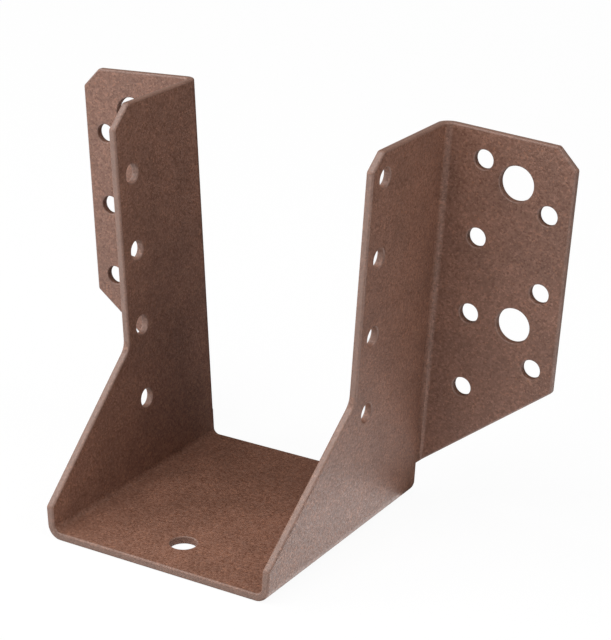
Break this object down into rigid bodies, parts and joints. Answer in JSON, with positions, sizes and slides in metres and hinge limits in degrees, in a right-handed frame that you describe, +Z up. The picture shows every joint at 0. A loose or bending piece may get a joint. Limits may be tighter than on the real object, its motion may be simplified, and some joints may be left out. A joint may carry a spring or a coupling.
{
  "type": "joist hanger",
  "caption": "Folded steel joist hanger with a flat seat, splayed walls with sloped front edges and outward header flanges with nail and bolt holes.",
  "frame": {"origin": "middle of the outline in X and Y, at the underside of the seat in Z", "axes": "+Z up from the seat, +Y towards the header that the flanges lie against, +X across the seat"},
  "size_m": [0.144, 0.0734, 0.1005],
  "materials": {
    "coated_steel": "matte brown powder coat with a fine metallic speckle"
  },
  "bodies": {
    "root": {"joist_hanger": "coated_steel"}
  },
  "joints": []
}
